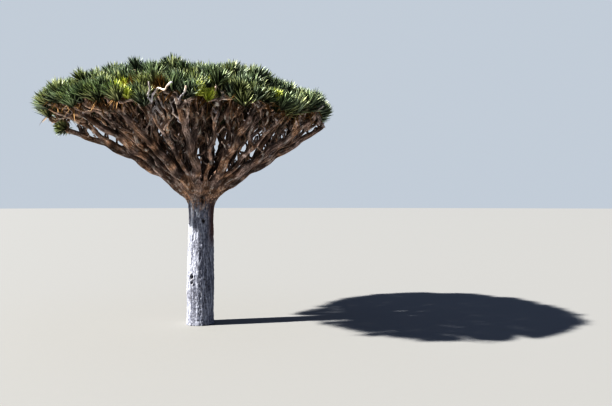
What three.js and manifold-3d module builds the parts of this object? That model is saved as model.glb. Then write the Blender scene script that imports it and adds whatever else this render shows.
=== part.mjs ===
// A dragon blood tree: an umbrella-shaped tree with a bare pale trunk, boughs that fork out and up
// from one head, and a flat dome of stiff leaves. Millimetres, +Z up, seen from the front along +Y.
// The origin is the middle of the flat cut under the trunk, at ground level.
import * as THREE from "three";
import { mergeVertices } from "three/addons/utils/BufferGeometryUtils.js";
import Module from "manifold-3d";

const wasm = await Module();
wasm.setup();

// Driving dimensions of the tree
const TREE_HEIGHT = 7450; // ground to the highest leaf tips
const CROWN_REACH = 4200; // middle of the crown to its furthest leaf tips
const CROWN_SHIFT = -230; // the crown's middle stands left of the trunk
const CROWN_DOME = 1200; // how far the rim's leaf tips lie below the top ones
const DOME_POWER = 2.2; // 2 is a round dome, more is flatter on top
const CROWN_TILT = 100; // the left rim is this much higher than the middle, the right rim lower
const FRONT_DROP = 150; // and the front rim is lower, the back rim higher
const LEAF_LAYER = 760; // thickness of the layer of leaves
const TRUNK_RADIUS = 390;
const HEAD_HEIGHT = 3530; // where the trunk divides
const GAP = 0.3; // between pieces that touch
const MERGE = 0.01; // vertices nearer than this are one

// The rim isn't quite round: waves in and out, as a share of the reach, count and start
const RIM_WAVES = [
  { share: 0.012, count: 3, start: 1 },
  { share: 0.01, count: 5, start: 0.4 },
];

// The trunk, from the ground to its head
const TRUNK_LEAN = 45; // the head stands this far to the right of the foot
const TRUNK_SIDES = 20;
const HEAD_RISE = 30; // the blunt top between the boughs
const FLUTES = 5; // shallow ribs that run down from the boughs
const FLUTE_DEPTH = 0.035; // as a share of the radius, at the head
const FLUTE_FADE = 0.4; // share of that depth at the ground
const FLUTE_TWIST = 1.5; // radians from the ground to the head, over all the flutes
const TRUNK_PROFILE = [
  // share of the head's height, share of the trunk's radius
  [0, 1.06],
  [0.03, 1.01],
  [0.1, 0.98],
  [0.3, 1.01],
  [0.55, 0.98],
  [0.74, 0.92],
  [0.86, 0.87],
  [0.93, 0.9],
  [0.98, 0.97],
  [1.02, 0.8],
];

// The boughs. Radii are where a limb starts and where it enters the leaves
const FIRST_BOUGHS = 6; // thick, short limbs round the head
const FIRST_TURN = 201; // direction of the first one, in degrees from +X
const FIRST_LENGTH = 400;
const LENGTH_SCATTER = 0.12; // share of that length
const FIRST_RISE = 58; // degrees above the level
const RISE_SCATTER = 4;
const FIRST_RADII = [165, 155];
const HEAD_CIRCLE = 165; // they start on a circle of this radius inside the head
const FIRST_DEPTH = 90; // and this far below its top
const FIRST_SAG = 25; // a little hollow, as a limb is that first leans out and then rises
const LIMB_SIDES = 8;
const LIMB_RINGS = 4;
const ENTRY = 120; // how far a limb runs on inside its leaves before it is cut off

// Two long boughs go out from each short one
const OUTER = { radii: [155, 72], rise: 36, back: 95, apart: 62, spread: 15 };
const OUTER_SCATTER = 0.05; // radians of the direction that they end in
// at which share of the crown's reach each one enters its leaves, starting at the left one
const OUTER_REACH = [0.885, 0.84, 0.84, 0.84, 0.84, 0.9, 0.92, 0.9, 0.84, 0.84, 0.84, 0.84];
// how far each one arches above a straight line
const ARCH = [240, 150, 60, 40, 40, -40, -60, -40, 110, 90, 70, 160];
const SWAY = 90; // and how far it swings sideways
// Each long bough sends a limb up part way along, at this share of its length
const FORK = { radii: [88, 54], rise: 58, reach: 0.71, at: 0.4, turn: 0.13, sway: 0.5 };
// One limb goes up from each short bough, and one from the middle of the head
const INNER = { radii: [112, 56], rise: 66, reach: 0.46, back: 110, lift: 60, scatter: 0.12 };
const CENTRE = { radii: [118, 56], rise: 84, reach: 0.05, offset: [20, 30, -60], turns: [70, 20] };
// The left one stays low and ends in a small tuft below the rim, so a limb rises from it to the rim
const LOW_TUFT = { bough: 0, turn: 181, drop: 1000, size: [330, 260, 170], lump: 0.4 };
const RIM_LIMB = { from: "bough_1_a", at: 0.5, radii: [78, 52], turn: 187, reach: 0.84, rise: 38 };

// A limb leaves along its parent's way for the first share of its run, then turns to its leaves
const LEAVE = 0.3;
const ARRIVE = 0.68;

// The masses of leaves: rings of pads on the dome, as shares of the crown's reach
const CENTRE_EDGE = 0.27;
const MIDDLE_EDGE = 0.64;
const PAD_GAP = 40; // open strip between two pads
const PAD_AROUND = 16; // faces round a pad, and from its top to its underside
const PAD_UP = 6;
const PAD_CORNER = 6; // exponent of the rounded outline: 2 is an ellipse, more is squarer
const PAD_SHOULDER = 0.8; // under 1 the pad's flat top reaches further out
const LUMP = 50; // height of the lumps on a pad
const LUMP_COUNT = [5.1, 4.3]; // how closely they follow each other, along and across
const LUMP_SHIFT = [2.3, -1.7]; // and how they move from one pad to the next
const NOTCH = 0.05; // how uneven its outline is, as a share of its size
const NOTCH_COUNT = [4, 3];
const CUT_GROW = 1.3 * GAP; // a limb is cut back from a pad that is grown by this much

const rad = THREE.MathUtils.degToRad;
// The direction of one of a count of spokes round the head
const spokeTurn = (i, count) => rad(FIRST_TURN + (i * 360) / count);

// A repeatable number from -1 to 1 for each pair of counts
function scatter(i, j = 0) {
  const [MIX_I, MIX_J, SHIFT, STRETCH] = [12.9898, 78.233, 4.1, 43758.5453];
  const s = Math.sin(i * MIX_I + j * MIX_J + SHIFT) * STRETCH;
  return 2 * (s - Math.floor(s)) - 1;
}

// The crown's reach in one direction
function reach(turn) {
  const waves = RIM_WAVES.map(({ share, count, start }) => share * Math.sin(count * turn + start));
  return CROWN_REACH * (1 - waves.reduce((sum, wave) => sum + wave));
}

// A point on the surface of the leaf tips, lowered by drop
function domePoint(turn, share, drop = 0) {
  const r = share * reach(turn);
  return new THREE.Vector3(
    CROWN_SHIFT + r * Math.cos(turn),
    r * Math.sin(turn),
    TREE_HEIGHT
      - CROWN_DOME * share ** DOME_POWER
      - CROWN_TILT * share * Math.cos(turn)
      + FRONT_DROP * share * Math.sin(turn)
      - drop,
  );
}

// A closed geometry as a manifold-3d solid, with its shared vertices merged
function toSolid(geometry) {
  const bare = geometry.index ? geometry.toNonIndexed() : geometry.clone();
  bare.deleteAttribute("normal");
  bare.deleteAttribute("uv");
  const merged = mergeVertices(bare, MERGE);
  return new wasm.Manifold(
    new wasm.Mesh({
      numProp: 3,
      vertProperties: merged.attributes.position.array,
      triVerts: new Uint32Array(merged.index.array),
    }),
  );
}

function toGeometry(solid) {
  const mesh = solid.getMesh();
  const geometry = new THREE.BufferGeometry();
  geometry.setAttribute("position", new THREE.BufferAttribute(mesh.vertProperties, mesh.numProp));
  geometry.setIndex(new THREE.BufferAttribute(mesh.triVerts, 1));
  const facets = geometry.toNonIndexed();
  facets.computeVertexNormals();
  return facets;
}

// Moves each vertex of a geometry as change(vertex, index) says
function reshape(geometry, change) {
  const position = geometry.attributes.position;
  const v = new THREE.Vector3();
  for (let i = 0; i < position.count; i++) {
    change(v.fromBufferAttribute(position, i), i);
    position.setXYZ(i, v.x, v.y, v.z);
  }
  return geometry;
}

// The trunk is turned as a lathe shape, then fluted and leaned
function trunkSolid(grow = 0) {
  const top = TRUNK_PROFILE.at(-1)[0] * HEAD_HEIGHT + HEAD_RISE + grow;
  const sides = TRUNK_PROFILE.map(
    ([height, radius]) => new THREE.Vector2(radius * TRUNK_RADIUS + grow, height * HEAD_HEIGHT),
  );
  const profile = [new THREE.Vector2(0, 0), ...sides, new THREE.Vector2(0, top)];
  const turned = new THREE.LatheGeometry(profile, TRUNK_SIDES);
  turned.rotateX(Math.PI / 2);
  reshape(turned, (v) => {
    const up = v.z / HEAD_HEIGHT;
    const wave = Math.cos(FLUTES * Math.atan2(v.y, v.x) + FLUTE_TWIST * up);
    const flute = 1 + FLUTE_DEPTH * wave * (FLUTE_FADE + (1 - FLUTE_FADE) * up);
    v.x = v.x * flute + TRUNK_LEAN * up * up;
    v.y = v.y * flute;
  });
  return toSolid(turned);
}

// One tapering limb along a curve
function limbSolid({ curve, radii }, grow = 0) {
  const [start, end] = radii.map((r) => r + grow);
  const tube = new THREE.CylinderGeometry(end, start, 1, LIMB_SIDES, LIMB_RINGS);
  const frames = curve.computeFrenetFrames(LIMB_RINGS);
  const middle = new THREE.Vector3();
  reshape(tube, (v) => {
    const along = THREE.MathUtils.clamp(v.y + 0.5, 0, 1);
    const ring = Math.round(along * LIMB_RINGS);
    const across = v.x;
    const over = v.z;
    curve.getPointAt(along, middle);
    if (ring === 0) middle.addScaledVector(frames.tangents[ring], -grow);
    if (ring === LIMB_RINGS) middle.addScaledVector(frames.tangents[ring], grow);
    v.copy(middle)
      .addScaledVector(frames.normals[ring], across)
      .addScaledVector(frames.binormals[ring], -over);
  });
  const solid = toSolid(tube);
  return solid.volume() < 0 ? toSolid(tube.scale(-1, 1, 1)) : solid;
}

// A direction that rises from the level by some degrees
function heading(turn, rise) {
  return new THREE.Vector3(
    Math.cos(turn) * Math.cos(rad(rise)),
    Math.sin(turn) * Math.cos(rad(rise)),
    Math.sin(rad(rise)),
  );
}

// A long limb from one point to its leaves, arched and swung a little
function longCurve(start, startWay, end, arch, sway) {
  const run = end.clone().sub(start);
  const level = new THREE.Vector3(-run.y, run.x, 0).normalize();
  const bow = new THREE.Vector3(0, 0, (4 / 3) * arch).addScaledVector(level, sway);
  const toStart = start.clone()
    .addScaledVector(startWay, run.length() * LEAVE)
    .addScaledVector(bow, 0.5);
  const toEnd = start.clone().addScaledVector(run, ARRIVE).add(bow);
  return new THREE.CubicBezierCurve3(start, toStart, toEnd, end);
}

// A unit ball made a pad with a squarish outline, put in its place and made lumpy by place(),
// and grown along its normals where it serves to cut
function padSolid(place, index, grow = 0) {
  const ball = new THREE.SphereGeometry(1, PAD_AROUND, PAD_UP).rotateX(Math.PI / 2);
  reshape(ball, (v) => {
    const out = Math.min(1, Math.hypot(v.x, v.y));
    const round = Math.atan2(v.y, v.x);
    const square = (Math.abs(Math.cos(round)) ** PAD_CORNER
      + Math.abs(Math.sin(round)) ** PAD_CORNER) ** (-1 / PAD_CORNER);
    const lump = Math.sin(LUMP_COUNT[0] * v.x + LUMP_SHIFT[0] * index)
      * Math.sin(LUMP_COUNT[1] * v.y + LUMP_SHIFT[1] * index);
    const notch = Math.sin(NOTCH_COUNT[0] * round + index)
      * Math.sin(NOTCH_COUNT[1] * round - 2 * index);
    const outline = (1 + (square - 1) * out) * (1 - NOTCH * out * (1 + notch));
    place(v, out ** PAD_SHOULDER * outline, round, lump);
  });
  ball.deleteAttribute("normal");
  ball.deleteAttribute("uv");
  const shape = mergeVertices(ball, MERGE);
  shape.computeVertexNormals();
  const normal = new THREE.Vector3();
  reshape(shape, (v, i) => {
    v.addScaledVector(normal.fromBufferAttribute(shape.attributes.normal, i), grow);
  });
  return toSolid(shape);
}

// A pad that fills one field of a ring of the crown
function ringPad(turn, halfAngle, inner, outer) {
  const share = (inner + outer) / 2;
  const halfShare = (outer - inner) / 2 - PAD_GAP / 2 / CROWN_REACH;
  return (v, out, round, lump) => {
    const height = v.z;
    const s = share + halfShare * out * Math.cos(round);
    const half = halfAngle - PAD_GAP / 2 / (s * CROWN_REACH);
    v.copy(domePoint(turn + half * out * Math.sin(round), s, LEAF_LAYER / 2));
    v.z += (LEAF_LAYER / 2) * height + LUMP * lump;
  };
}

// The round pad on top
function centrePad(v, out, round, lump) {
  const radius = CENTRE_EDGE - PAD_GAP / 2 / CROWN_REACH;
  const height = v.z;
  v.copy(domePoint(round, Math.min(out, 1) * radius, LEAF_LAYER / 2));
  v.z += (LEAF_LAYER / 2) * height + LUMP * lump * out;
}

const lowTuftReach = OUTER_REACH[LOW_TUFT.bough];
const lowTuftMiddle = domePoint(rad(LOW_TUFT.turn), lowTuftReach, LOW_TUFT.drop);

function lowTuftPad(v, out, round, lump) {
  const [long, wide, high] = LOW_TUFT.size;
  const height = v.z * high + LOW_TUFT.lump * LUMP * lump;
  v.set(out * Math.cos(round) * long, out * Math.sin(round) * wide, height).add(lowTuftMiddle);
}

// Every pad of leaves: its name and the shape that it takes
const pads = [];
const OUTER_PADS = 2 * FIRST_BOUGHS;
for (let i = 0; i < OUTER_PADS; i++) {
  const turn = spokeTurn(i, OUTER_PADS) - rad(OUTER.spread);
  const place = ringPad(turn, Math.PI / OUTER_PADS, MIDDLE_EDGE, 1);
  pads.push({ name: `leaves_outer_${i + 1}`, place });
}
for (let i = 0; i < FIRST_BOUGHS; i++) {
  const turn = spokeTurn(i, FIRST_BOUGHS);
  const place = ringPad(turn, Math.PI / FIRST_BOUGHS, CENTRE_EDGE, MIDDLE_EDGE);
  pads.push({ name: `leaves_middle_${i + 1}`, place });
}
pads.push({ name: "leaves_centre", place: centrePad });
pads.push({ name: "leaves_low_left", place: lowTuftPad });

// Every limb: its name, curve and two radii, from the head outwards
const limbs = [];
const head = new THREE.Vector3(TRUNK_LEAN, 0, HEAD_HEIGHT);
const entryDrop = LEAF_LAYER - ENTRY;

for (let i = 0; i < FIRST_BOUGHS; i++) {
  const turn = spokeTurn(i, FIRST_BOUGHS);
  const way = heading(turn, FIRST_RISE + RISE_SCATTER * scatter(i));
  const start = head.clone().addScaledVector(heading(turn, 0), HEAD_CIRCLE);
  start.z -= FIRST_DEPTH;
  const length = FIRST_LENGTH * (1 + LENGTH_SCATTER * scatter(i, 3));
  const end = start.clone().addScaledVector(way, length);
  const bend = start.clone().lerp(end, 0.5);
  bend.z -= FIRST_SAG;
  const shortCurve = new THREE.CubicBezierCurve3(start, bend, bend.clone(), end);
  limbs.push({ name: `bough_${i + 1}`, curve: shortCurve, radii: FIRST_RADII });

  for (const side of [-1, 1]) {
    const n = 2 * i + (side > 0 ? 1 : 0);
    const outward = turn + side * rad(OUTER.spread);
    const from = end.clone()
      .addScaledVector(way, -OUTER.back)
      .addScaledVector(heading(turn + Math.PI / 2, 0), side * OUTER.apart);
    const to = n === LOW_TUFT.bough
      ? lowTuftMiddle
      : domePoint(outward + OUTER_SCATTER * scatter(n, 5), OUTER_REACH[n], entryDrop);
    const curve = longCurve(from, heading(outward, OUTER.rise), to, ARCH[n], SWAY * scatter(n, 7));
    const name = `bough_${i + 1}_${side > 0 ? "b" : "a"}`;
    limbs.push({ name, curve, radii: OUTER.radii });

    const crotch = curve.getPointAt(FORK.at);
    const forkEnd = domePoint(outward + side * FORK.turn, FORK.reach, entryDrop);
    const forkSway = FORK.sway * SWAY * scatter(n, 13);
    const forkCurve = longCurve(crotch, heading(outward, FORK.rise), forkEnd, 0, forkSway);
    limbs.push({ name: `${name}_fork`, curve: forkCurve, radii: FORK.radii });
  }

  const innerStart = end.clone().addScaledVector(way, -INNER.back);
  innerStart.z += INNER.lift;
  const innerEnd = domePoint(turn + INNER.scatter * scatter(i, 9), INNER.reach, entryDrop);
  const innerWay = heading(turn, INNER.rise);
  const innerCurve = longCurve(innerStart, innerWay, innerEnd, 0, SWAY * scatter(i, 11));
  limbs.push({ name: `bough_${i + 1}_top`, curve: innerCurve, radii: INNER.radii });
}
{
  const [leaves, arrives] = CENTRE.turns.map(rad);
  const from = head.clone().add(new THREE.Vector3(...CENTRE.offset));
  const to = domePoint(arrives, CENTRE.reach, entryDrop);
  const curve = longCurve(from, heading(leaves, CENTRE.rise), to, 0, -SWAY);
  limbs.push({ name: "bough_centre", curve, radii: CENTRE.radii });
}
{
  const from = limbs.find((limb) => limb.name === RIM_LIMB.from).curve.getPointAt(RIM_LIMB.at);
  const turn = rad(RIM_LIMB.turn);
  const to = domePoint(turn, RIM_LIMB.reach, entryDrop);
  const curve = longCurve(from, heading(turn, RIM_LIMB.rise), to, 0, 0);
  limbs.push({ name: `${RIM_LIMB.from}_rim`, curve, radii: RIM_LIMB.radii });
}

// The material of each kind of piece
const bark = new THREE.MeshStandardMaterial({ color: 0x9c9a97, roughness: 0.85, metalness: 0 });
const boughBark = new THREE.MeshStandardMaterial({ color: 0x6f5846, roughness: 0.85, metalness: 0 });
const foliage = new THREE.MeshStandardMaterial({ color: 0x46583a, roughness: 0.6, metalness: 0 });

const tree = new THREE.Group();
function addPiece(name, solid, material) {
  const mesh = new THREE.Mesh(toGeometry(solid), material);
  mesh.name = name;
  tree.add(mesh);
}

// The largest body of what a cut leaves
function largest(solid) {
  return solid.decompose().reduce((best, body) => (body.volume() > best.volume() ? body : best));
}

// Pieces already placed, each a little grown, which later ones are cut back from
const cutters = [trunkSolid(GAP)];
addPiece("trunk", trunkSolid(), bark);
pads.forEach(({ name, place }, index) => {
  addPiece(name, padSolid(place, index + 1), foliage);
  cutters.push(padSolid(place, index + 1, CUT_GROW));
});
for (const limb of limbs) {
  const cut = cutters.reduce((solid, cutter) => solid.subtract(cutter), limbSolid(limb));
  addPiece(limb.name, largest(cut), boughBark);
  cutters.push(limbSolid(limb, GAP));
}

export default tree;
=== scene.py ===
# %% [markdown]
# # Dressing a dragon blood tree
# The frame is a plain solid model of the tree: a trunk, its boughs and pads that hold the place of
# the leaves. This lesson puts bark, branches and some tens of thousands of leaves in their place.
# A tree could be sculpted or grown by an add-on. Here it is grown from the frame's own limbs by a
# short rule with a fixed seed, so that it is the same each time and fits the solids under it.

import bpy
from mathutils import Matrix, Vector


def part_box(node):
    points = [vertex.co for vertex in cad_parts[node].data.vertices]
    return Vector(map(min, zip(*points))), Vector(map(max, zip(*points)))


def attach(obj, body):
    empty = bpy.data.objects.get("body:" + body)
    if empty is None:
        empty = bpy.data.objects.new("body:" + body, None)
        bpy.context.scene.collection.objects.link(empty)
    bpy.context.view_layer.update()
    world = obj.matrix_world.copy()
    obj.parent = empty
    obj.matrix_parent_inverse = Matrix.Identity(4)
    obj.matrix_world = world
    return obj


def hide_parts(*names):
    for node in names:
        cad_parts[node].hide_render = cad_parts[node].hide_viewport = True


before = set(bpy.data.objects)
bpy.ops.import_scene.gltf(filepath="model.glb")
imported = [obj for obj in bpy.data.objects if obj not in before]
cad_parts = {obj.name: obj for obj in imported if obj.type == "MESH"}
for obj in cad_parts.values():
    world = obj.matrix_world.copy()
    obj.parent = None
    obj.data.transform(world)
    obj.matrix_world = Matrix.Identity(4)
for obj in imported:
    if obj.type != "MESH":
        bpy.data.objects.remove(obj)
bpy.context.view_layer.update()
print("solids in the frame:", len(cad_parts))

# %% Tools of this lesson
import math

import bmesh
import bpy
import numpy as np
from mathutils import Matrix, Vector, kdtree, noise
from mathutils.bvhtree import BVHTree

SEED = 21
TINY = 1e-9
UP = np.array((0, 0, 1))
PULL = 0.35  # how far a curve is drawn along the ways at its ends, as a share of its length
chance = np.random.default_rng(SEED)


def unit(vectors):
    """Vectors made 1 long. It takes one vector or a list of them."""
    vectors = np.asarray(vectors, float)
    return vectors / np.maximum(np.linalg.norm(vectors, axis=-1, keepdims=True), TINY)


def ways_along(line):
    """The way that a line runs at each of its places."""
    return unit(np.gradient(line, axis=0))


def corners_of(body):
    return np.array([v.co for v in body.verts])


def direction(turn, rise=0.0):
    """The way at some turn from +X and at some rise above the level, in radians."""
    level = math.cos(rise)
    return np.array((level * math.cos(turn), level * math.sin(turn), math.sin(rise)))


def drawn(start, pull, push, end, t):
    """Places along a cubic curve from start to end, drawn towards the two points between."""
    return (
        (1 - t) ** 3 * start + 3 * (1 - t) ** 2 * t * pull
        + 3 * (1 - t) * t**2 * push + t**3 * end
    )


def curve(start, way, end, end_way, t, bends=(0, 0)):
    """Places along a curve that leaves its start one way and comes to its end another way."""
    length = np.linalg.norm(end - start)
    pull = start + way * length * PULL + bends[0]
    push = end - end_way * length * PULL + bends[1]
    return drawn(start, pull, push, end, t)


def bump(distance, size=1.0, power=2):
    """1 at a distance of 0, and fading out round about that size."""
    return np.exp(-((distance / size) ** power))


def placed(name, data):
    """An object that holds some data, put into the scene."""
    made = bpy.data.objects.new(name, data)
    bpy.context.scene.collection.objects.link(made)
    return made


print("the seed of every random draw:", SEED)

# %% [markdown]
# ## The camera
# The picture was taken from about the height of the trunk's head, some way to its right, with the
# camera held level: the trunk's sides stay upright. A camera is an object that holds lens data. It
# looks along its own -Z, so it is turned up by 90 degrees to look along +Y.

# %% Make the camera
PICTURE = (612, 406)
EYE = Vector((3.06, -17.2, 3.47))
LENS, SENSOR = 35, 36  # millimetres
FOCAL = LENS / SENSOR * PICTURE[0]  # the same in pixels
camera_data = bpy.data.cameras.new("camera")
camera_data.lens, camera_data.sensor_width = LENS, SENSOR
camera = placed("camera", camera_data)
camera.location = EYE
camera.rotation_euler = (math.pi / 2, 0, 0)
bpy.context.scene.camera = camera


def in_picture(points):
    """Where places lie in the picture, in pixels."""
    off = np.asarray(points) - np.array(EYE)
    return np.array(PICTURE) / 2 + FOCAL * off[:, [0, 2]] * (1, -1) / off[:, [1]]


def sight(across, down):
    """The direction from the camera through a place in the picture, given in pixels."""
    return Vector((across - PICTURE[0] / 2, FOCAL, PICTURE[1] / 2 - down)).normalized()


def at_depth(pixel, depth):
    """The place that shows at a pixel and has a given y."""
    way = sight(*pixel)
    return EYE + way * (depth - EYE.y) / way.y


print("the camera sees", round(math.degrees(2 * math.atan(SENSOR / 2 / LENS))), "degrees across")

# %% [markdown]
# ## Floor and light
# A plain grey floor and an even surround keep the eye on the tree. The key light is one Sun lamp
# from the left, so that the left half of the trunk is lit and the crown shades its neck. The
# surround fills the shadows. An area light could do the same, but a Sun lamp lights a tall tree
# alike from its foot to its top. The view look has strong contrast, as the real shadows are deep.

# %% Make the floor and the lights
FLOOR_RADIUS, FLOOR_SIDES = 400, 96
FLOOR_DROP = 0.004  # metres below the foot of the tree, so that the two don't coincide
floor_mesh = bpy.data.meshes.new("floor")
ground = bmesh.new()
bmesh.ops.create_circle(ground, cap_ends=True, radius=FLOOR_RADIUS, segments=FLOOR_SIDES)
ground.to_mesh(floor_mesh)
ground.free()
floor = placed("floor", floor_mesh)
floor.location.z = -FLOOR_DROP

KEY_TURN, KEY_HEIGHT, KEY_WIDTH = np.radians((193, 38, 1.5))
KEY_ENERGY, KEY_COLOUR = 7.8, (1.0, 0.98, 0.94)
key_data = bpy.data.lights.new("key", "SUN")
key_data.energy, key_data.angle, key_data.color = KEY_ENERGY, KEY_WIDTH, KEY_COLOUR
key = placed("key", key_data)
towards_key = Vector(direction(KEY_TURN, KEY_HEIGHT))
key.rotation_euler = towards_key.to_track_quat("Z", "Y").to_euler()

bpy.context.scene.world = bpy.data.worlds.new("surround")
view = bpy.context.scene.view_settings
view.view_transform, view.look = "Standard", "Very High Contrast"
print("the key light stands", round(math.degrees(KEY_HEIGHT)), "degrees high")

# %% [markdown]
# ## Writing materials as sums
# A material is a graph of nodes. Placed one by one they are hard to read, so this small class wraps
# one output of a node: adding or multiplying two of them adds the Math node for it, and any other
# node comes from the one method node(), which the short methods after it only call.


# %% A wire between nodes
class Wire:
    """One output of a node, which more nodes can be drawn from."""

    def __init__(self, tree, socket=None):
        self.tree, self.socket = tree, socket

    def node(self, kind, inputs=None, output=0, stops=None, **settings):
        made = self.tree.nodes.new(kind)
        for name, value in settings.items():
            setattr(made, name, value)
        for at, colour in stops or []:
            made.color_ramp.elements.new(at).color = paint(colour)
        if stops:
            made.color_ramp.elements.remove(made.color_ramp.elements[0])
            made.color_ramp.elements.remove(made.color_ramp.elements[-1])
        for name, value in (inputs or {}).items():
            if isinstance(value, Wire):
                self.tree.links.new(value.socket, made.inputs[name])
            else:
                made.inputs[name].default_value = value
        return Wire(self.tree, made.outputs[output])

    def maths(self, operation, *values):
        return self.node("ShaderNodeMath", dict(enumerate(values)), operation=operation)

    def __add__(self, other):
        return self.maths("ADD", self, other)

    def __sub__(self, other):
        return self.maths("SUBTRACT", self, other)

    def __rsub__(self, other):
        return self.maths("SUBTRACT", other, self)

    def __mul__(self, other):
        return self.maths("MULTIPLY", self, other)

    def __truediv__(self, other):
        return self.maths("DIVIDE", self, other)

    __radd__, __rmul__ = __add__, __mul__

    def clamped(self):
        return self.node("ShaderNodeClamp", {"Value": self})

    def past(self, start, rate):
        """0 up to the start, and from there on rising to 1 at some rate."""
        return ((self - start) * rate).clamped()

    def part(self, axis):
        return self.node("ShaderNodeSeparateXYZ", {0: self}, output=axis)

    def attribute(self, name, output):
        return self.node("ShaderNodeAttribute", output=output, attribute_name=name)

    def noise(self, stretch, scale, detail):
        place = self.node("ShaderNodeVectorMath", {0: self, 1: stretch}, operation="MULTIPLY")
        inputs = {"Vector": place, "Scale": scale, "Detail": detail, "Roughness": 0.55}
        return self.node("ShaderNodeTexNoise", inputs)

    def mixed(self, first, second):
        """First where this wire is 0, second where it is 1."""
        return self.node("ShaderNodeMix", {0: self, 6: first, 7: second}, 2, data_type="RGBA")

    def mixed_by(self, tint):
        """This colour, multiplied by another."""
        values = {0: 1.0, 6: self, 7: tint}
        return self.node("ShaderNodeMix", values, 2, data_type="RGBA", blend_type="MULTIPLY")


def paint(code):
    """A colour such as 8a6a4d, as the light values that a shader takes."""
    parts = [int(code[i:i + 2], 16) / 255 for i in (0, 2, 4)]
    return (*[c / 12.92 if c < 0.04045 else ((c + 0.055) / 1.055) ** 2.4 for c in parts], 1)


def new_material(name):
    """A material, its surface shader and a wire to start from."""
    material = bpy.data.materials.new(name)
    material.use_nodes = True
    surface = material.node_tree.nodes["Principled BSDF"]
    return material, surface, Wire(material.node_tree)


def feed(surface, name, wire):
    wire.tree.links.new(wire.socket, surface.inputs[name])


print("a mid grey is", [round(c, 3) for c in paint("808080")[:3]])

# %% Paint the floor and the surround
floor_paint, floor_surface, _ = new_material("floor")
floor_surface.inputs["Base Color"].default_value = paint("8c8b88")
floor_surface.inputs["Roughness"].default_value = 0.9
floor_mesh.materials.append(floor_paint)

SURROUND_SEEN, SURROUND_LIGHT = paint("a5abb2"), paint("707a8e")  # to the camera, to the tree
world = bpy.context.scene.world
world.use_nodes = True
seen_directly = Wire(world.node_tree).node("ShaderNodeLightPath", output="Is Camera Ray")
surround = seen_directly.mixed(SURROUND_LIGHT, SURROUND_SEEN)
world.node_tree.links.new(surround.socket, world.node_tree.nodes["Background"].inputs["Color"])
print("the surround as the camera sees it:", [round(c, 2) for c in SURROUND_SEEN[:3]])

# %% [markdown]
# ## Bark
# The bark of this tree is smooth and pale on the trunk, with long shallow folds, small dark hollows
# and stains. Up in the boughs it turns warm brown and scaly: partly the bark's own colour and
# partly painted warm light, as the ground throws it up under the crown. Its small pale spots are
# partly pale bark and partly painted flecks of sunlight, and faces that look up are paler, partly
# bleached bark and partly painted sunlight. One material serves both: it reads how high it is, and
# an attribute named grain, which runs along each limb, so that streaks follow the limbs round their
# bends. Two
# more attributes come from the relief: hollow is painted darker, as dust and shade make it, and the
# other is painted paler, as a painted highlight on a ridge and painted patches of sunlight.


# %% Paint the bark
NECK, NECK_BLEND = 3.4, 0.26  # where the pale bark turns brown, and over how much, in metres
STAIN_SIDE, STAIN_FOOT = 0.24, 2.1  # a rusty stain lies to the right of and above these, in metres
# Each noise has a stretch along x, y and z, a scale and a detail
PATCHES, STREAKS, SPECKS = ((1, 1, 0.45), 2.6, 5), ((1, 1, 0.12), 26, 5), ((1, 1, 0.6), 38, 3)
WARMTH, SHADES, SPOTS = ((1, 1, 0.7), 2.1, 2), ((1, 1, 0.6), 4.2, 2), ((1, 1, 0.45), 11, 2)
CRACK_AT, CRACK_RATE = 0.47, 26  # a crack runs where the streaks have this value
COOL_TINT, WARM_TINT = (0.93, 0.93, 1.02, 1), (1.12, 0.98, 0.87, 1)
DIM, BRIGHT = (0.42, 0.4, 0.4, 1), (1.3, 1.3, 1.3, 1)
SPOT_AND_SUNFLECK_PAINT, STAIN_PAINT, SUNLIT_AND_BLEACHED_PAINT = paint("efebe4"), paint("6d4a3b"), paint("b9b2a8")
# Paints for a painted highlight on the trunk, and for dust and painted shade in hollows and cracks.
HIGHLIGHT_PAINT, HOLLOW_PAINT = paint("f1f4fa"), paint("2e2723")


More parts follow.
